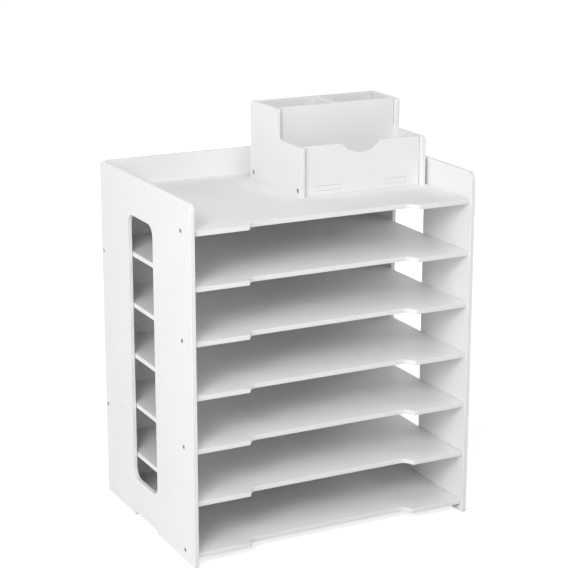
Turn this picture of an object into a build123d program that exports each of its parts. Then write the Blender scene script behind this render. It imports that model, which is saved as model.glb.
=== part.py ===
from build123d import *
import os

# Boards and fits, all sizes in millimetres
board = 5.0                  # thickness of every board
slot_gap = 0.1               # play around a tab in its slot
end_gap = 0.8                # seam between a cross board's end and the panel beside it
tab_sink = 0.05              # a tab's end stays this far inside the outer face
edge_ease = 0.6              # rounding of the exposed cut edges
pick_reach = 0.5             # how near an edge or corner lies to the place it is picked by

# Carcass
inner_width = 320.0          # clear width between the side panels
shelf_depth = 229.0
shelf_count = 7
shelf_pitch = 57.0
foot_height = 9.5            # desk to the underside of the lowest shelf
rim_height = 29.5            # rise of the side panels above the top shelf
front_setback = 4.0          # shelf fronts behind the panels' front edges
rear_inset = 3.0             # back boards in front of the panels' rear edges

# Side panel outline
top_corner = 9.0
bottom_corner = 3.0
window_front_share = 0.4002  # panel front edge to the window, as a share of the panel's depth
window_rear_share = 0.3209
window_bottom_margin = 44.0
window_top_margin = 43.3
window_corner = 12.0
relief_length = 60.0         # shallow relief that leaves a front and a rear foot
relief_height = 4.0
relief_lead = 1.5            # its middle in front of the window's middle
relief_corner_share = 0.43   # its corner radius as a share of its height

# Shelf outline and tabs
notch_mouth = 196.5          # finger notch at the front edge
notch_run = 5.75             # how far each end of the notch slopes inwards
notch_depth = 11.0
notch_inner_corner = 9.0
notch_outer_corner = 2.0
shelf_tab = 27.5
front_tab_share = 0.564      # middle of the front tab between the panel's front edge and the window
rear_tab_share = 0.662       # middle of the rear tab between the panel's rear edge and the window

# Back boards
seam_share = 0.5143          # height of the seam between the two back boards, of the panel's height
seam_gap = 1.0
back_tab = 28.0
upper_tab_from_top = 48.5    # middle of a tab below the panels' top edge
upper_tab_from_seam = 24.5
lower_tab_from_seam = 42.5
lower_tab_from_bottom = 47.5
upper_screw_rise = 4.5       # upper screws above the middle between two tabs

# Countersunk screws
screw_length = 16.0
shank_diameter = 2.6
head_diameter = 5.0
head_height = 1.5
tip_length = 3.0
screw_sink = 0.2             # head below the outer face
screw_gap = 0.1              # play between a screw and its hole
recess_length = 2.8          # cross recess in the head
recess_width = 0.8
recess_depth = 0.9
front_screw_margin = 24.5    # panel front edge to the front screws

# Pen caddy, loose on the top shelf
caddy_width = 154.0
caddy_depth = 122.0
caddy_low_height = 54.1
caddy_tall_height = 87.1
caddy_side_gap = 4.0         # caddy to the right side panel
caddy_rear_gap = 24.0        # caddy to the upper back board
caddy_step = 57.0            # front edge to the riser between low and tall parts
caddy_corner = 4.0
caddy_inner_corner = 2.0
caddy_inset = 5.0            # cross panels behind the edges of the sides
caddy_floor_lift = 5.0
caddy_panel_lift = 0.2       # front and back panels above the top shelf, so the sides bear
floor_slot_gap = 0.25        # play around a floor tab, which shows as a thin line on the front
floor_tab_share = 0.185      # length of a floor tab, of the caddy's width
floor_offset_share = 0.27    # middle of a floor tab from the caddy's middle, of its width
side_tab = 24.0
mid_tab_share = 0.517        # middle of an end tab above the top shelf, of the caddy's tall height
back_tab_share = 0.713
divider_tab = 18.0
divider_tab_share = 0.345
caddy_screw_height = 7.0     # screws above the top shelf
scoop_width = 50.0
scoop_depth = 11.5
scoop_corner = 2.0

# Places worked out from the sizes above
outer_width = inner_width + 2 * board
panel_depth = front_setback + shelf_depth + board + rear_inset
shelf_bottoms = [foot_height + shelf_pitch * level for level in range(shelf_count)]
tray_z = shelf_bottoms[-1] + board
panel_height = tray_z + rim_height
inner_x = inner_width / 2
cross_x = inner_x - end_gap
outer_x = outer_width / 2
front_y = -panel_depth / 2
rear_y = panel_depth / 2
shelf_front_y = front_y + front_setback
back_y = shelf_front_y + shelf_depth
window_front_margin = window_front_share * panel_depth
window_rear_margin = window_rear_share * panel_depth
window_middle_y = (window_front_margin - window_rear_margin) / 2
relief_middle_y = window_middle_y - relief_lead
relief_corner = relief_corner_share * relief_height
seam_height = seam_share * panel_height

caddy_right = inner_x - caddy_side_gap
caddy_left = caddy_right - caddy_width
caddy_middle = (caddy_left + caddy_right) / 2
caddy_cross_width = caddy_width - 2 * board - 2 * end_gap
caddy_rear = back_y - caddy_rear_gap
caddy_front = caddy_rear - caddy_depth
riser_y = caddy_front + caddy_step
low_z = tray_z + caddy_low_height
tall_z = tray_z + caddy_tall_height
front_panel_y = caddy_front + caddy_inset
mid_panel_y = riser_y + caddy_inset
back_panel_y = caddy_rear - caddy_inset - board
floor_z = tray_z + caddy_floor_lift
panel_foot_z = tray_z + caddy_panel_lift
floor_top = floor_z + board


def span(middle, length):
    return (middle - length / 2, middle + length / 2)


def widened(limits, gap):
    return (limits[0] - gap, limits[1] + gap)


def middle_of(spans):
    ends = [end for limits in spans for end in limits]
    return sum(ends) / len(ends)


# Spans of the tabs, shared by each tab and by the slot that takes it
shelf_tab_spans = [
    span(front_y + front_tab_share * window_front_margin, shelf_tab),
    span(rear_y - rear_tab_share * window_rear_margin, shelf_tab),
]
upper_tab_spans = [
    span(panel_height - upper_tab_from_top, back_tab),
    span(seam_height + upper_tab_from_seam, back_tab),
]
lower_tab_spans = [
    span(seam_height - lower_tab_from_seam, back_tab),
    span(foot_height + lower_tab_from_bottom, back_tab),
]
back_span = (back_y, back_y + board)
floor_span = (floor_z, floor_top)
front_panel_span = (front_panel_y, front_panel_y + board)
mid_panel_span = (mid_panel_y, mid_panel_y + board)
back_panel_span = (back_panel_y, back_panel_y + board)
divider_span = span(caddy_middle, board)
caddy_cross_span = span(caddy_middle, caddy_cross_width)
floor_tab_spans = [
    span(caddy_middle + side * floor_offset_share * caddy_width, floor_tab_share * caddy_width)
    for side in (-1, 1)
]
floor_side_span = span((front_panel_span[1] + back_panel_y) / 2, side_tab)
mid_tab_span = span(tray_z + mid_tab_share * caddy_tall_height, side_tab)
back_tab_span = span(tray_z + back_tab_share * caddy_tall_height, side_tab)
divider_tab_span = span(tray_z + divider_tab_share * caddy_tall_height, divider_tab)

# Screws as (y, z) on the panel that they pass through
front_screws = [(front_y + front_screw_margin, bottom + board / 2) for bottom in shelf_bottoms[::2]]
upper_screw = (back_y + board / 2, middle_of(upper_tab_spans) + upper_screw_rise)
lower_screw = (back_y + board / 2, middle_of(lower_tab_spans))
caddy_screw_z = tray_z + caddy_screw_height
front_panel_screw = (front_panel_y + board / 2, caddy_screw_z)
back_panel_screw = (back_panel_y + board / 2, caddy_screw_z)


def block(x_span, y_span, z_span):
    middle = [(low + high) / 2 for low, high in (x_span, y_span, z_span)]
    size = [high - low for low, high in (x_span, y_span, z_span)]
    return Pos(*middle) * Box(*size)


def board_across_x(profile, x):
    return extrude(Plane.YZ.offset(x) * profile, board)


def board_across_y(profile, y):
    return extrude(Plane.XZ.offset(-y - board) * profile, board)


def board_across_z(profile, z):
    return extrude(Plane.XY.offset(z) * profile, board)


def picked(shapes, axis, place):
    return shapes.filter_by_position(axis, place - pick_reach, place + pick_reach)


def on_faces(solid, axis, low):
    # edges that lie in the two large faces of a board
    near = picked(solid.edges(), axis, low)
    far = picked(solid.edges(), axis, low + board)
    return near + far


def corners_at(profile, axis, place):
    return picked(profile.vertices(), axis, place)


def turned_profile(points):
    # revolves an (x, radius) outline around the X axis
    return revolve(make_face(Polyline(*points, close=True)), axis=Axis.X)


def screw_blank():
    head_radius = head_diameter / 2
    shank_radius = shank_diameter / 2
    return turned_profile([
        (screw_sink, 0),
        (screw_sink, head_radius),
        (screw_sink + head_height, shank_radius),
        (screw_length - tip_length, shank_radius),
        (screw_length, 0),
    ])


def screw():
    recess = (screw_sink - screw_gap, screw_sink + recess_depth)
    long_arm = span(0, recess_length)
    short_arm = span(0, recess_width)
    return screw_blank() - block(recess, long_arm, short_arm) - block(recess, short_arm, long_arm)


def screw_hole():
    head_radius = head_diameter / 2 + screw_gap
    shank_radius = shank_diameter / 2 + screw_gap
    return turned_profile([
        (-board, 0),
        (-board, head_radius),
        (screw_sink, head_radius),
        (screw_sink + head_height, shank_radius),
        (screw_length + screw_gap, shank_radius),
        (screw_length + screw_gap, 0),
    ])


def driven(tool, face_x, point, side):
    # side -1 drives from a left outer face towards +X, side 1 from a right one towards -X
    turn = 0 if side < 0 else 180
    return Pos(face_x, *point) * Rot(0, 0, turn) * tool


def drilled(solid, left_face, right_face, points, sides=(-1, 1)):
    hole = screw_hole()
    for side in sides:
        for point in points:
            solid -= driven(hole, left_face if side < 0 else right_face, point, side)
    return solid


def screw_group(face_x, points, side):
    body = screw()
    return Compound(children=[driven(body, face_x, point, side) for point in points])


def panel_profile():
    profile = Pos(0, panel_height / 2) * Rectangle(panel_depth, panel_height)
    profile = fillet(corners_at(profile, Axis.Y, panel_height), top_corner)
    profile = fillet(corners_at(profile, Axis.Y, 0), bottom_corner)
    relief = Pos(relief_middle_y, 0) * Rectangle(relief_length, 2 * relief_height)
    profile -= relief
    relief_ends = [
        corner
        for height in (0, relief_height)
        for corner in corners_at(profile, Axis.Y, height)
        if abs(corner.X - relief_middle_y) < relief_length / 2 + relief_corner
    ]
    profile = fillet(relief_ends, relief_corner)
    window_depth = panel_depth - window_front_margin - window_rear_margin
    window_height = panel_height - window_bottom_margin - window_top_margin
    window = RectangleRounded(window_depth, window_height, window_corner)
    return profile - Pos(window_middle_y, window_bottom_margin + window_height / 2) * window


def side_panel(side):
    x = inner_x if side > 0 else -outer_x
    solid = board_across_x(panel_profile(), x)
    solid = fillet(on_faces(solid, Axis.X, x), edge_ease)
    through = widened((x, x + board), board)
    for bottom in shelf_bottoms:
        for tab in shelf_tab_spans:
            solid -= block(through, widened(tab, slot_gap), widened((bottom, bottom + board), slot_gap))
    for tab in upper_tab_spans + lower_tab_spans:
        solid -= block(through, widened(back_span, slot_gap), widened(tab, slot_gap))
    points = front_screws + [upper_screw, lower_screw]
    return drilled(solid, -outer_x, outer_x, points, sides=(side,))


def end_tabs(left_face, right_face):
    # X spans of the tabs that reach out through the boards on both sides
    return [
        (left_face + tab_sink, left_face + board + end_gap),
        (right_face - board - end_gap, right_face - tab_sink),
    ]


def notch_profile():
    half_mouth = notch_mouth / 2
    half_floor = half_mouth - notch_run
    floor_y = shelf_front_y + notch_depth
    return make_face(Polyline(
        (-half_mouth, shelf_front_y),
        (-half_floor, floor_y),
        (half_floor, floor_y),
        (half_mouth, shelf_front_y),
        close=True,
    ))


def shelf_profile():
    middle_y = shelf_front_y + shelf_depth / 2
    profile = Pos(0, middle_y) * Rectangle(2 * cross_x, shelf_depth) - notch_profile()
    profile = fillet(corners_at(profile, Axis.Y, shelf_front_y + notch_depth), notch_inner_corner)
    mouth = [c for c in corners_at(profile, Axis.Y, shelf_front_y) if abs(c.X) < inner_x - board]
    return fillet(mouth, notch_outer_corner)


def shelf(bottom):
    solid = board_across_z(shelf_profile(), bottom)
    front_reach = (shelf_front_y - board, shelf_front_y + notch_depth + board)
    solid = fillet(on_faces(solid, Axis.Z, bottom).filter_by_position(Axis.Y, *front_reach), edge_ease)
    for x_span in end_tabs(-outer_x, outer_x):
        for tab in shelf_tab_spans:
            solid += block(x_span, tab, (bottom, bottom + board))
    points = [point for point in front_screws if bottom < point[1] < bottom + board]
    return drilled(solid, -outer_x, outer_x, points)


def with_eased_top(solid, axis, low, top):
    return fillet(picked(on_faces(solid, axis, low), Axis.Z, top), edge_ease)


def back_board(z_span, tabs, screw_point):
    solid = block((-cross_x, cross_x), back_span, z_span)
    solid = with_eased_top(solid, Axis.Y, back_y, z_span[1])
    for x_span in end_tabs(-outer_x, outer_x):
        for tab in tabs:
            solid += block(x_span, back_span, tab)
    return drilled(solid, -outer_x, outer_x, [screw_point])


def caddy_side_profile():
    profile = make_face(Polyline(
        (caddy_front, tray_z),
        (caddy_rear, tray_z),
        (caddy_rear, tall_z),
        (riser_y, tall_z),
        (riser_y, low_z),
        (caddy_front, low_z),
        close=True,
    ))
    profile = fillet(corners_at(profile, Axis.Y, tall_z), caddy_corner)
    low_corners = corners_at(profile, Axis.Y, low_z)
    profile = fillet(low_corners.sort_by(Axis.X)[:1], caddy_corner)
    return fillet(corners_at(profile, Axis.Y, low_z).sort_by(Axis.X)[-1:], caddy_inner_corner)


def caddy_side(side):
    x = caddy_left if side < 0 else caddy_right - board
    solid = board_across_x(caddy_side_profile(), x)
    above_tray = (tray_z + edge_ease, tall_z + board)
    solid = fillet(on_faces(solid, Axis.X, x).filter_by_position(Axis.Z, *above_tray), edge_ease)
    through = widened((x, x + board), board)
    solid -= block(through, widened(floor_side_span, slot_gap), widened(floor_span, slot_gap))
    solid -= block(through, widened(mid_panel_span, slot_gap), widened(mid_tab_span, slot_gap))
    solid -= block(through, widened(back_panel_span, slot_gap), widened(back_tab_span, slot_gap))
    points = [front_panel_screw, back_panel_screw]
    return drilled(solid, caddy_left, caddy_right, points, sides=(side,))


def caddy_cross_panel(y, bottom, top):
    # upright board between the caddy's sides, with its top edges eased
    solid = block(caddy_cross_span, (y, y + board), (bottom, top))
    return with_eased_top(solid, Axis.Y, y, top)


def with_floor_slots(solid, y):
    through = widened((y, y + board), board)
    for tab in floor_tab_spans:
        solid -= block(widened(tab, floor_slot_gap), through, widened(floor_span, floor_slot_gap))
    return solid


def with_end_tabs(solid, y_span, z_span):
    for x_span in end_tabs(caddy_left, caddy_right):
        solid += block(x_span, y_span, z_span)
    return solid


def front_panel_profile():
    middle_z = (panel_foot_z + low_z) / 2
    radius = scoop_width ** 2 / (8 * scoop_depth) + scoop_depth / 2
    scoop = Pos(caddy_middle, low_z - scoop_depth + radius) * Circle(radius)
    profile = Pos(caddy_middle, middle_z) * Rectangle(caddy_cross_width, low_z - panel_foot_z) - scoop
    lips = [c for c in corners_at(profile, Axis.Y, low_z) if abs(c.X - caddy_middle) < scoop_width]
    return fillet(lips, scoop_corner)


def caddy_front_panel():
    solid = board_across_y(front_panel_profile(), front_panel_y)
    upper = widened((low_z - scoop_depth, low_z), pick_reach)
    solid = fillet(on_faces(solid, Axis.Y, front_panel_y).filter_by_position(Axis.Z, *upper), edge_ease)
    solid = with_floor_slots(solid, front_panel_y)
    return drilled(solid, caddy_left, caddy_right, [front_panel_screw])


def caddy_middle_panel():
    solid = caddy_cross_panel(mid_panel_y, floor_top, tall_z)
    solid = with_end_tabs(solid, mid_panel_span, mid_tab_span)
    through = widened(mid_panel_span, board)
    return solid - block(widened(divider_span, slot_gap), through, widened(divider_tab_span, slot_gap))


def caddy_back_panel():
    solid = caddy_cross_panel(back_panel_y, panel_foot_z, tall_z)
    solid = with_floor_slots(solid, back_panel_y)
    solid = with_end_tabs(solid, back_panel_span, back_tab_span)
    through = widened(back_panel_span, board)
    solid -= block(widened(divider_span, slot_gap), through, widened(divider_tab_span, slot_gap))
    return drilled(solid, caddy_left, caddy_right, [back_panel_screw])


def caddy_floor():
    between = (front_panel_span[1], back_panel_y)
    solid = block(caddy_cross_span, between, floor_span)
    front_tab = (front_panel_y + tab_sink, front_panel_span[1])
    rear_tab = (back_panel_y, back_panel_span[1] - tab_sink)
    for tab in floor_tab_spans:
        solid += block(tab, front_tab, floor_span) + block(tab, rear_tab, floor_span)
    return with_end_tabs(solid, floor_side_span, floor_span)


def caddy_divider():
    solid = block(divider_span, (mid_panel_span[1], back_panel_y), (floor_top, tall_z))
    solid = with_eased_top(solid, Axis.X, divider_span[0], tall_z)
    front_tab = (mid_panel_y + tab_sink, mid_panel_span[1])
    rear_tab = (back_panel_y, back_panel_span[1] - tab_sink)
    for tab in (front_tab, rear_tab):
        solid += block(divider_span, tab, divider_tab_span)
    return solid


def carcass_nodes():
    nodes = {"left_side_panel": side_panel(-1), "right_side_panel": side_panel(1)}
    nodes["bottom_shelf"] = shelf(shelf_bottoms[0])
    for level, bottom in enumerate(shelf_bottoms[1:-1], start=1):
        nodes[f"shelf_{level}"] = shelf(bottom)
    nodes["top_shelf"] = shelf(shelf_bottoms[-1])
    upper_span = (seam_height + seam_gap / 2, panel_height)
    lower_span = (foot_height, seam_height - seam_gap / 2)
    nodes["upper_back_board"] = back_board(upper_span, upper_tab_spans, upper_screw)
    nodes["lower_back_board"] = back_board(lower_span, lower_tab_spans, lower_screw)
    for name, side in (("left", -1), ("right", 1)):
        nodes[f"{name}_shelf_screws"] = screw_group(side * outer_x, front_screws, side)
        nodes[f"{name}_back_screws"] = screw_group(side * outer_x, [upper_screw, lower_screw], side)
    return nodes


def caddy_nodes():
    nodes = {
        "caddy_left_side": caddy_side(-1),
        "caddy_right_side": caddy_side(1),
        "caddy_front_panel": caddy_front_panel(),
        "caddy_middle_panel": caddy_middle_panel(),
        "caddy_back_panel": caddy_back_panel(),
        "caddy_floor": caddy_floor(),
        "caddy_divider": caddy_divider(),
    }
    points = [front_panel_screw, back_panel_screw]
    for name, face, side in (("left", caddy_left, -1), ("right", caddy_right, 1)):
        nodes[f"caddy_{name}_screws"] = screw_group(face, points, side)
    return nodes


os.makedirs("parts", exist_ok=True)
for node, solid in {**carcass_nodes(), **caddy_nodes()}.items():
    export_step(solid, f"parts/{node}.step")
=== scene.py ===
import math

import bpy
import numpy as np
from mathutils import Matrix, Vector


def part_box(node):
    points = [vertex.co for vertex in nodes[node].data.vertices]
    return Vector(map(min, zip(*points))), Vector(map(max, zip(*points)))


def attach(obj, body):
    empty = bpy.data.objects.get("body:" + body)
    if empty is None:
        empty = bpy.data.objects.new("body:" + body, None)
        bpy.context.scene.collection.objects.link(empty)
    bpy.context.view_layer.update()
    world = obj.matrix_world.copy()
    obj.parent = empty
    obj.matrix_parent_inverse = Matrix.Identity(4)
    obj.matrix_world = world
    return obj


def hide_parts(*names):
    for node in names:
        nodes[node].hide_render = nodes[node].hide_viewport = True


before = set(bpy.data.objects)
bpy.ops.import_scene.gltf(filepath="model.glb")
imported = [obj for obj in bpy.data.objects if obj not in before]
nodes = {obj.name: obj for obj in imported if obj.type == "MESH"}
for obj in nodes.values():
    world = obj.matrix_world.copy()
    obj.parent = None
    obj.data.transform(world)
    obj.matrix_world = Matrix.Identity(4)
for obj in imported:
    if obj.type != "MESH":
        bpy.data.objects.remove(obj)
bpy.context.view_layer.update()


# adds one node; a value that is a socket is linked, any other is typed into the input
def put(tree, kind, feeds=None, **settings):
    node = tree.nodes.new(kind)
    for name, value in settings.items():
        setattr(node, name, value)
    for name, value in (feeds or {}).items():
        if isinstance(value, bpy.types.NodeSocket):
            tree.links.new(value, node.inputs[name])
        else:
            node.inputs[name].default_value = value
    return node


# new material with an empty node tree
def startMaterial(name):
    material = bpy.data.materials.new(name)
    material.use_nodes = True
    tree = material.node_tree
    tree.nodes.clear()
    return material, tree


def closeMaterial(tree, shader):
    put(tree, "ShaderNodeOutputMaterial", {"Surface": shader})


# value moved from one span to another, clamped at both ends
def remap(tree, value, fromLow, fromHigh, toLow, toHigh):
    feeds = {"Value": value, "From Min": fromLow, "From Max": fromHigh, "To Min": toLow, "To Max": toHigh}
    return put(tree, "ShaderNodeMapRange", feeds).outputs["Result"]


# first colour at share 0, second at share 1
def mixColour(tree, share, first, second):
    feeds = {0: share, 6: first, 7: second}
    return put(tree, "ShaderNodeMix", feeds, data_type="RGBA").outputs[2]


# first value at share 0, second at share 1
def mixValue(tree, share, first, second):
    return put(tree, "ShaderNodeMix", {0: share, 2: first, 3: second}).outputs[0]


# smooth noise between 0 and 1, mostly near the middle
def noise(tree, vector, scale, detail=2.0):
    feeds = {"Vector": vector, "Scale": scale, "Detail": detail}
    return put(tree, "ShaderNodeTexNoise", feeds).outputs["Fac"]


# coordinates times one scale per axis
def stretched(tree, vector, scales):
    return put(tree, "ShaderNodeMapping", {"Vector": vector, "Scale": scales}).outputs["Vector"]


# foamed plastic board: a smooth rolled skin, and milled cut edges with fine cutter marks across the thickness
boardLook = {
    "skin": (0.862, 0.862, 0.862, 1.0),
    "skinShade": (0.852, 0.852, 0.852, 1.0),
    "cut": (0.858, 0.858, 0.855, 1.0),
    "cutShade": (0.842, 0.842, 0.838, 1.0),
    "sawn": (0.886, 0.886, 0.884, 1.0),  # tab ends, left as they were sawn
    "facing": (0.72, 0.97),  # size of the normal's part along an axis, from not facing it to facing it
    "cloudScale": 14.0,      # broad clouding of the skin, per metre
    "cloudDetail": 3.0,
    "cloudSpan": (0.35, 0.65),
    "peelScale": 950.0,      # fine orange peel
    "rollAlong": 6.0,        # rolling streaks, few along the sheet and many across it
    "rollAcross": 420.0,
    "markAlong": 2200.0,     # cutter marks along the edge
    "markAcross": 90.0,
    "markDetail": 3.0,
    "grainSpan": (0.3, 0.7),  # part of the noise's span that streaks and marks use
    "cellScale": 2600.0,     # open foam cells in the cut edge
    "cellSpan": (0.0, 0.8),
    "skinRough": (0.40, 0.50),
    "cutRough": (0.58, 0.72),
    "specular": 0.42,
    "peelBump": 0.00006,
    "cutBump": 0.00004,
    "bumpStrength": 0.6,
}


# the normal along the thickness tells skin from cut edge, and the sideways normal tells tab ends
# from milled edges; each has its own colour, roughness and relief
def boardMaterial(name, thicknessAxis, rollAxis):
    look = boardLook
    material, tree = startMaterial(name)
    place = put(tree, "ShaderNodeTexCoord")
    where = place.outputs["Object"]
    parts = put(tree, "ShaderNodeSeparateXYZ", {"Vector": place.outputs["Normal"]})
    facing = put(tree, "ShaderNodeMath", {0: parts.outputs[thicknessAxis]}, operation="ABSOLUTE").outputs[0]
    sideways = put(tree, "ShaderNodeMath", {0: parts.outputs["X"]}, operation="ABSOLUTE").outputs[0]
    isSkin = remap(tree, facing, *look["facing"], 0.0, 1.0)
    isTabEnd = remap(tree, sideways, *look["facing"], 0.0, 1.0)

    rollScales = [look["rollAcross"]] * 3
    rollScales[rollAxis] = look["rollAlong"]
    markScales = [look["markAlong"]] * 3
    markScales[thicknessAxis] = look["markAcross"]
    cloudNoise = noise(tree, where, look["cloudScale"], look["cloudDetail"])
    clouds = remap(tree, cloudNoise, *look["cloudSpan"], 0.0, 1.0)
    peel = noise(tree, where, look["peelScale"])
    roll = noise(tree, stretched(tree, where, rollScales), 1.0)
    marks = noise(tree, stretched(tree, where, markScales), 1.0, look["markDetail"])
    cellFeeds = {"Vector": where, "Scale": look["cellScale"]}
    cells = put(tree, "ShaderNodeTexVoronoi", cellFeeds).outputs["Distance"]

    skinColour = mixColour(tree, clouds, look["skin"], look["skinShade"])
    cutTone = remap(tree, marks, *look["grainSpan"], 0.0, 1.0)
    millColour = mixColour(tree, cutTone, look["cut"], look["cutShade"])
    cutColour = mixColour(tree, isTabEnd, millColour, look["sawn"])
    skinRough = remap(tree, roll, *look["grainSpan"], *look["skinRough"])
    cutRough = remap(tree, cells, *look["cellSpan"], *look["cutRough"])

    # relief in metres: the skin's peel, and the marks and cells of the cut
    skinRelief = remap(tree, peel, 0.0, 1.0, 0.0, look["peelBump"])
    cellRelief = remap(tree, cells, *look["cellSpan"], 0.0, look["cutBump"])
    markRelief = remap(tree, marks, *look["grainSpan"], 0.0, look["cutBump"])
    cutRelief = put(tree, "ShaderNodeMath", {0: cellRelief, 1: markRelief}, operation="ADD").outputs[0]
    relief = mixValue(tree, isSkin, cutRelief, skinRelief)
    bumpFeeds = {"Height": relief, "Strength": look["bumpStrength"], "Distance": 1.0}
    bump = put(tree, "ShaderNodeBump", bumpFeeds)

    shader = put(tree, "ShaderNodeBsdfPrincipled", {
        "Base Color": mixColour(tree, isSkin, cutColour, skinColour),
        "Roughness": mixValue(tree, isSkin, cutRough, skinRough),
        "Normal": bump.outputs["Normal"],
        "Specular IOR Level": look["specular"],
    })
    closeMaterial(tree, shader.outputs["BSDF"])
    return material


# which way each board lies: thickness axis, then the axis that its sheet was rolled along
boardLie = {
    "upright side panel": (0, 2, ["left_side_panel", "right_side_panel"]),
    "shelf": (2, 0, ["bottom_shelf", "shelf_1", "shelf_2", "shelf_3", "shelf_4", "shelf_5", "top_shelf"]),
    "back board": (1, 0, ["upper_back_board", "lower_back_board"]),
    "caddy side": (0, 1, ["caddy_left_side", "caddy_right_side", "caddy_divider"]),
    "caddy cross panel": (1, 0, ["caddy_front_panel", "caddy_middle_panel", "caddy_back_panel"]),
    "caddy floor": (2, 0, ["caddy_floor"]),
}


def dress(node, material):
    mesh = nodes[node].data
    mesh.materials.clear()
    mesh.materials.append(material)


for label, (thicknessAxis, rollAxis, names) in boardLie.items():
    finish = boardMaterial("white board, " + label, thicknessAxis, rollAxis)
    for name in names:
        dress(name, finish)
print("boards dressed")


# countersunk wood screw, sizes in metres, measured inwards from the outer face
screwShape = {
    "headRadius": 0.0024,
    "sink": 0.0002,          # head below the board's face
    "rim": 0.00015,          # rounding of the head's rim
    "coneEnd": 0.0017,
    "neckEnd": 0.0042,       # plain neck, then thread
    "crest": 0.0013,
    "root": 0.00092,
    "pitch": 0.0012,
    "tipStart": 0.0130,
    "length": 0.0159,
    "recessReach": 0.0017,   # half length of a recess arm
    "recessHalfWidth": 0.00050,
    "recessDepth": 0.0011,
    "recessEdge": 0.00009,   # softness of the recess walls
    "recessFlat": 0.45,      # share of an arm that keeps the full depth
    "ridgeHalf": 0.3,        # half width of the thread's ridge, of its pitch
    "around": 72,            # points round the screw
    "headRings": 33,
    "rimRings": 4,
    "coneRings": 5,
    "turnRings": 10,         # rings on one turn of the thread
    "tipRings": 22,
    "leftTurned": 0.61,      # each screw is left turned this far from the one before
}


# 0 below the first edge, 1 above the second, smooth between
def smooth(value, low, high):
    share = np.clip((value - low) / (high - low), 0.0, 1.0)
    return share * share * (3.0 - 2.0 * share)


# outline as (depth, radius) rows: flat head, rounded rim, cone, neck, thread length and tip
def screwOutline():
    s = screwShape
    flatEdge = s["headRadius"] - s["rim"]
    headRadius = np.linspace(0.0, flatEdge, s["headRings"] + 1)[1:]
    head = np.stack([np.full_like(headRadius, s["sink"]), headRadius], 1)
    bend = np.linspace(0.0, np.pi / 2, s["rimRings"] + 1)[1:]
    rim = np.stack([s["sink"] + s["rim"] * (1 - np.cos(bend)), flatEdge + s["rim"] * np.sin(bend)], 1)
    share = np.linspace(0.0, 1.0, s["coneRings"] + 1)[1:, None]
    cone = rim[-1] + share * (np.array([s["coneEnd"], s["crest"]]) - rim[-1])
    turns = (s["tipStart"] - s["coneEnd"]) / s["pitch"]
    depth = np.linspace(s["coneEnd"], s["tipStart"], int(turns * s["turnRings"]))[1:]
    shank = np.stack([depth, np.full_like(depth, s["crest"])], 1)
    share = np.linspace(0.0, 1.0, s["tipRings"] + 2)[1:-1]
    tipDepth = s["tipStart"] + share * (s["length"] - s["tipStart"])
    tip = np.stack([tipDepth, s["crest"] * (1.0 - share)], 1)
    return np.concatenate([head, rim, cone, shank, tip])


# outline turned about the screw's axis; a cross is pressed into the head, and a ridge winds round the shank
def screwSurface():
    s = screwShape
    outline = screwOutline()
    angle = np.arange(s["around"]) * 2 * np.pi / s["around"]
    depth = np.repeat(outline[:, :1], s["around"], 1)
    radius = np.repeat(outline[:, 1:], s["around"], 1)
    onHead = depth <= s["sink"]
    u, v = np.abs(radius * np.cos(angle)), np.abs(radius * np.sin(angle))
    longWay, crossWay = np.maximum(u, v), np.minimum(u, v)
    halfWidth, soft = s["recessHalfWidth"], s["recessEdge"]
    wall = 1.0 - smooth(crossWay, halfWidth - soft, halfWidth + soft)
    end = 1.0 - smooth(longWay, s["recessFlat"] * s["recessReach"], s["recessReach"])
    depth = depth + np.where(onHead, s["recessDepth"] * wall * end, 0.0)

    phase = depth / s["pitch"] - angle / (2 * np.pi)
    ridge = np.clip(1.0 - np.abs(phase % 1.0 - 0.5) / s["ridgeHalf"], 0.0, 1.0)
    threaded = smooth(depth, s["neckEnd"], s["neckEnd"] + s["pitch"]) * (~onHead)
    rootShare = s["root"] / s["crest"]
    radius = radius * (1.0 - threaded * (1.0 - rootShare) * (1.0 - ridge))
    return np.stack([depth, radius * np.cos(angle), radius * np.sin(angle)], -1)


# quads between neighbouring rows, a fan at each pole, and (round, along) coordinates for every corner
def screwFaces(rows, around):
    row, column = np.meshgrid(np.arange(rows - 1), np.arange(around), indexing="ij")
    after = (column + 1) % around
    quads = np.stack([row * around + column, row * around + after,
                      (row + 1) * around + after, (row + 1) * around + column], -1).reshape(-1, 4)
    quadMap = np.stack([np.stack([column, column + 1, column + 1, column], -1) / around,
                        np.stack([row + 1, row + 1, row + 2, row + 2], -1) / (rows + 1)], -1).reshape(-1, 2)
    ring = np.arange(around)
    follow = (ring + 1) % around
    headPole, tipPole, last = rows * around, rows * around + 1, (rows - 1) * around
    headFan = np.stack([np.full(around, headPole), follow, ring], -1)
    tipFan = np.stack([np.full(around, tipPole), last + ring, last + follow], -1)
    top, low = np.full(around, 1 / (rows + 1)), np.full(around, rows / (rows + 1))
    headMap = np.stack([np.stack([ring + 0.5, ring + 1, ring], -1) / around,
                        np.stack([0 * top, top, top], -1)], -1).reshape(-1, 2)
    tipMap = np.stack([np.stack([ring + 0.5, ring, ring + 1], -1) / around,
                       np.stack([0 * low + 1, low, low], -1)], -1).reshape(-1, 2)
    faces = quads.tolist() + headFan.tolist() + tipFan.tolist()
    return faces, np.concatenate([quadMap, headMap, tipMap])


# zinc plating whose two tones are kept far darker than bare zinc, as painted shade and a painted dark
# reflection on the heads; the mix between them is the plating's own blotching
steelLook = {
    "plateUnderPaintedShade": (0.26, 0.265, 0.275, 1.0),
    "blotchUnderPaintedShade": (0.13, 0.134, 0.142, 1.0),
    "ringScale": (3.0, 240.0, 1.0),  # turning marks: few round the screw, many along it
    "ringSpan": (0.3, 0.7),
    "blotchScale": 900.0,
    "blotchSpan": (0.35, 0.65),
    "rough": (0.24, 0.42),
    "ringBump": 0.00003,
    "bumpStrength": 0.5,
}
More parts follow.
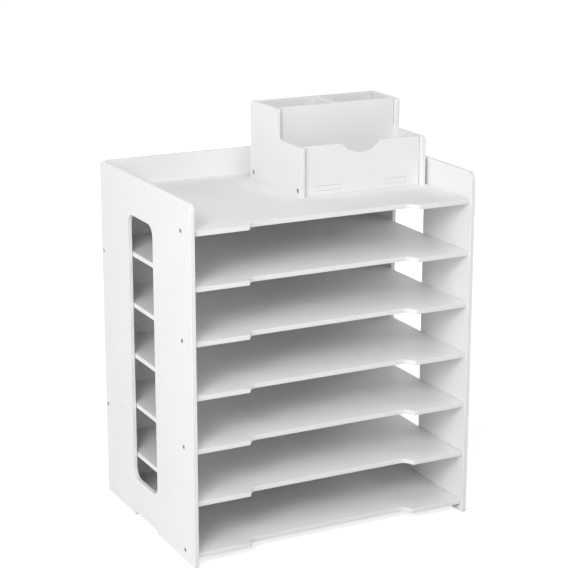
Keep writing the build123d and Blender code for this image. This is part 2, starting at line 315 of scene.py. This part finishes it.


# noise drawn out round the screw gives turning marks, and plain noise gives blotches of plating between two
# tones that are darkened as painted shade and painted dark reflection
def steelMaterial():
    look = steelLook
    material, tree = startMaterial("zinc plated steel")
    place = put(tree, "ShaderNodeTexCoord")
    rings = noise(tree, stretched(tree, place.outputs["UV"], look["ringScale"]), 1.0)
    blotchNoise = noise(tree, place.outputs["Object"], look["blotchScale"])
    blotch = remap(tree, blotchNoise, *look["blotchSpan"], 0.0, 1.0)
    height = remap(tree, rings, *look["ringSpan"], 0.0, look["ringBump"])
    bumpFeeds = {"Height": height, "Strength": look["bumpStrength"], "Distance": 1.0}
    bump = put(tree, "ShaderNodeBump", bumpFeeds)
    shader = put(tree, "ShaderNodeBsdfPrincipled", {
        "Base Color": mixColour(tree, blotch, look["plateUnderPaintedShade"], look["blotchUnderPaintedShade"]),
        "Roughness": remap(tree, rings, *look["ringSpan"], *look["rough"]),
        "Metallic": 1.0,
        "Normal": bump.outputs["Normal"],
    })
    closeMaterial(tree, shader.outputs["BSDF"])
    return material


# each row of screws: CAD node, body, screws in the row, axis that the row runs along, side of its board
screwRows = [
    ("left_shelf_screws", "carcass", 4, 2, -1),
    ("right_shelf_screws", "carcass", 4, 2, 1),
    ("left_back_screws", "carcass", 2, 2, -1),
    ("right_back_screws", "carcass", 2, 2, 1),
    ("caddy_left_screws", "caddy", 2, 1, -1),
    ("caddy_right_screws", "caddy", 2, 1, 1),
]


# centre of each head, spaced evenly between the ends of the CAD row, on the board's outer face
def screwCentres(node, count, runAxis, side):
    low, high = (np.array(corner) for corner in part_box(node))
    centres = np.repeat(((low + high) / 2)[None], count, 0)
    cadHeadRadius = (high - low)[1 if runAxis == 2 else 2] / 2
    centres[:, runAxis] = np.linspace(low[runAxis] + cadHeadRadius, high[runAxis] - cadHeadRadius, count)
    centres[:, 0] = low[0] - screwShape["sink"] if side < 0 else high[0] + screwShape["sink"]
    return centres


# one mesh for a row: the same screw at each head's centre, turned a little further each time
def screwRow(node, body, count, runAxis, side, finish):
    s = screwShape
    surface = screwSurface()
    rows, around = surface.shape[:2]
    poles = np.array([[s["sink"] + s["recessDepth"], 0, 0], [s["length"], 0, 0]])
    single = np.concatenate([surface.reshape(-1, 3), poles])
    faces, corners = screwFaces(rows, around)
    points, allFaces = [], []
    for index, centre in enumerate(screwCentres(node, count, runAxis, side)):
        turn = Matrix.Rotation(s["leftTurned"] * (index + 1 + (side > 0)), 3, "X")
        if side > 0:  # the right side's screws go in the other way
            turn = Matrix.Rotation(math.pi, 3, "Z") @ turn
        points.append(single @ np.array(turn).T + centre)
        allFaces += [[corner + index * len(single) for corner in face] for face in faces]
    mesh = bpy.data.meshes.new(node + "_driven")
    mesh.from_pydata(np.concatenate(points), [], allFaces)
    uvMap = mesh.uv_layers.new(name="turned")
    uvMap.data.foreach_set("uv", np.tile(corners, (count, 1)).astype(np.float32).ravel())
    mesh.polygons.foreach_set("use_smooth", np.ones(len(mesh.polygons), bool))
    mesh.materials.append(finish)
    mesh.update()
    piece = bpy.data.objects.new(node + "_driven", mesh)
    bpy.context.scene.collection.objects.link(piece)
    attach(piece, body)
    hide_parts(node)


steel = steelMaterial()
for node, body, count, runAxis, side in screwRows:
    screwRow(node, body, count, runAxis, side, steel)
print("screws driven:", sum(row[2] for row in screwRows))


# white floor that takes a faint shadow; the camera and mirrors see it as white as the background
floorLook = {
    "half": 4.0,
    "steps": 9,
    "paint": (0.80, 0.80, 0.80, 1.0),
    "seenPaint": (0.40, 0.40, 0.40, 1.0),
    "nearGlow": 0.76,        # round the object, where the shadow falls
    "farGlow": 1.0,
    "nearReach": 0.35,
    "farReach": 1.3,
    "grainScale": 60.0,
    "rough": (0.88, 0.96),
    "white": (1.0, 1.0, 1.0, 1.0),
}


# 1 for rays from the camera, from mirrors and through glass, else 0
def seenRay(tree):
    path = put(tree, "ShaderNodeLightPath")
    kinds = ("Is Camera Ray", "Is Glossy Ray", "Is Transmission Ray")
    camera, glossy, through = (path.outputs[kind] for kind in kinds)
    either = put(tree, "ShaderNodeMath", {0: camera, 1: glossy}, operation="MAXIMUM").outputs[0]
    return put(tree, "ShaderNodeMath", {0: either, 1: through}, operation="MAXIMUM").outputs[0]


# flat grid at z 0, whose glow for seen rays grows with the distance from the object
def makeFloor():
    look = floorLook
    line = np.linspace(-look["half"], look["half"], look["steps"])
    x, y = np.meshgrid(line, line)
    points = np.stack([x.ravel(), y.ravel(), np.zeros(x.size)], 1)
    row, column = np.meshgrid(np.arange(look["steps"] - 1), np.arange(look["steps"] - 1), indexing="ij")
    corner = (row * look["steps"] + column).ravel()
    faces = np.stack([corner, corner + 1, corner + look["steps"] + 1, corner + look["steps"]], 1)
    mesh = bpy.data.meshes.new("floor")
    mesh.from_pydata(points, [], faces.tolist())
    material, tree = startMaterial("white floor")
    where = put(tree, "ShaderNodeTexCoord").outputs["Object"]
    grain = remap(tree, noise(tree, where, look["grainScale"]), 0.0, 1.0, *look["rough"])
    plain = put(tree, "ShaderNodeBsdfDiffuse", {"Color": look["paint"], "Roughness": grain})
    shaded = put(tree, "ShaderNodeBsdfDiffuse", {"Color": look["seenPaint"], "Roughness": grain})
    away = put(tree, "ShaderNodeVectorMath", {0: where}, operation="LENGTH").outputs["Value"]
    strength = remap(tree, away, look["nearReach"], look["farReach"], look["nearGlow"], look["farGlow"])
    glow = put(tree, "ShaderNodeEmission", {"Color": look["white"], "Strength": strength})
    seen = put(tree, "ShaderNodeAddShader", {0: shaded.outputs[0], 1: glow.outputs[0]})
    both = put(tree, "ShaderNodeMixShader", {0: seenRay(tree), 1: plain.outputs[0], 2: seen.outputs[0]})
    closeMaterial(tree, both.outputs[0])
    mesh.materials.append(material)
    floor = bpy.data.objects.new("floor", mesh)
    bpy.context.scene.collection.objects.link(floor)


makeFloor()

# soft boxes round the object, all aimed at one point: place, side of the box, power in watts
lampAim = (0.0, 0.0, 0.2)
studioLamps = {
    "keyBox": {"place": (-1.181, -1.267, 1.2), "side": 0.6, "watts": 18.0},
    "leftBox": {"place": (-1.836, -0.742, 0.478), "side": 1.0, "watts": 10.6},
    "topFrontBox": {"place": (-0.1, -0.9, 2.1), "side": 1.0, "watts": 8.8},
    "rightBox": {"place": (1.7, -0.7, 0.9), "side": 1.2, "watts": 6.6},
    "backBox": {"place": (-0.3, 1.9, 0.9), "side": 1.0, "watts": 13.0},
    "rightRearBox": {"place": (1.9, 0.9, 0.6), "side": 1.0, "watts": 16.0},
}
worldLook = {"fill": 0.215, "seen": 1.0, "colour": (1.0, 1.0, 1.0, 1.0)}


# square lamp, turned so that it looks from its place to the aim
def addLamp(name, setting):
    data = bpy.data.lights.new(name, "AREA")
    data.shape = "SQUARE"
    data.size = setting["side"]
    data.energy = setting["watts"]
    lamp = bpy.data.objects.new(name, data)
    place = Vector(setting["place"])
    lamp.location = place
    lamp.rotation_mode = "QUATERNION"
    lamp.rotation_quaternion = (Vector(lampAim) - place).to_track_quat("-Z", "Y")
    bpy.context.scene.collection.objects.link(lamp)


# even fill on the object, and plain white where the camera or a mirror sees past it
def lightWorld():
    world = bpy.data.worlds.new("white studio")
    bpy.context.scene.world = world
    world.use_nodes = True
    tree = world.node_tree
    tree.nodes.clear()
    strength = mixValue(tree, seenRay(tree), worldLook["fill"], worldLook["seen"])
    sky = put(tree, "ShaderNodeBackground", {"Color": worldLook["colour"], "Strength": strength})
    put(tree, "ShaderNodeOutputWorld", {"Surface": sky.outputs[0]})


for name, setting in studioLamps.items():
    addLamp(name, setting)
lightWorld()
bpy.context.scene.view_settings.view_transform = "Standard"
print("lamps:", len(studioLamps))

# the photograph's view: place and clipping in metres, turn and tilt in degrees, lens and sensor in mm
cameraLook = {
    "place": (-0.83837, -1.64512, 0.77216),
    "azimuth": -27.115,
    "elevation": 15.793,
    "roll": 0.0665,
    "lens": 109.814,
    "sensor": 36.0,
    "clip": (0.05, 50.0),
}


# back points from the object to the camera by azimuth and elevation; right is level, then rolled with up
def addCamera():
    look = cameraLook
    azimuth, elevation, roll = (math.radians(look[k]) for k in ("azimuth", "elevation", "roll"))
    back = Vector((math.sin(azimuth) * math.cos(elevation),
                   -math.cos(azimuth) * math.cos(elevation), math.sin(elevation)))
    right = (-back).cross(Vector((0.0, 0.0, 1.0))).normalized()
    up = right.cross(-back)
    turnedRight = math.cos(roll) * right + math.sin(roll) * up
    turnedUp = math.cos(roll) * up - math.sin(roll) * right
    data = bpy.data.cameras.new("camera")
    data.lens = look["lens"]
    data.sensor_width = look["sensor"]
    data.clip_start, data.clip_end = look["clip"]
    camera = bpy.data.objects.new("camera", data)
    axes = Matrix((turnedRight, turnedUp, back)).transposed().to_4x4()
    camera.matrix_world = Matrix.Translation(look["place"]) @ axes
    bpy.context.scene.collection.objects.link(camera)
    bpy.context.scene.camera = camera


addCamera()
bpy.context.view_layer.update()
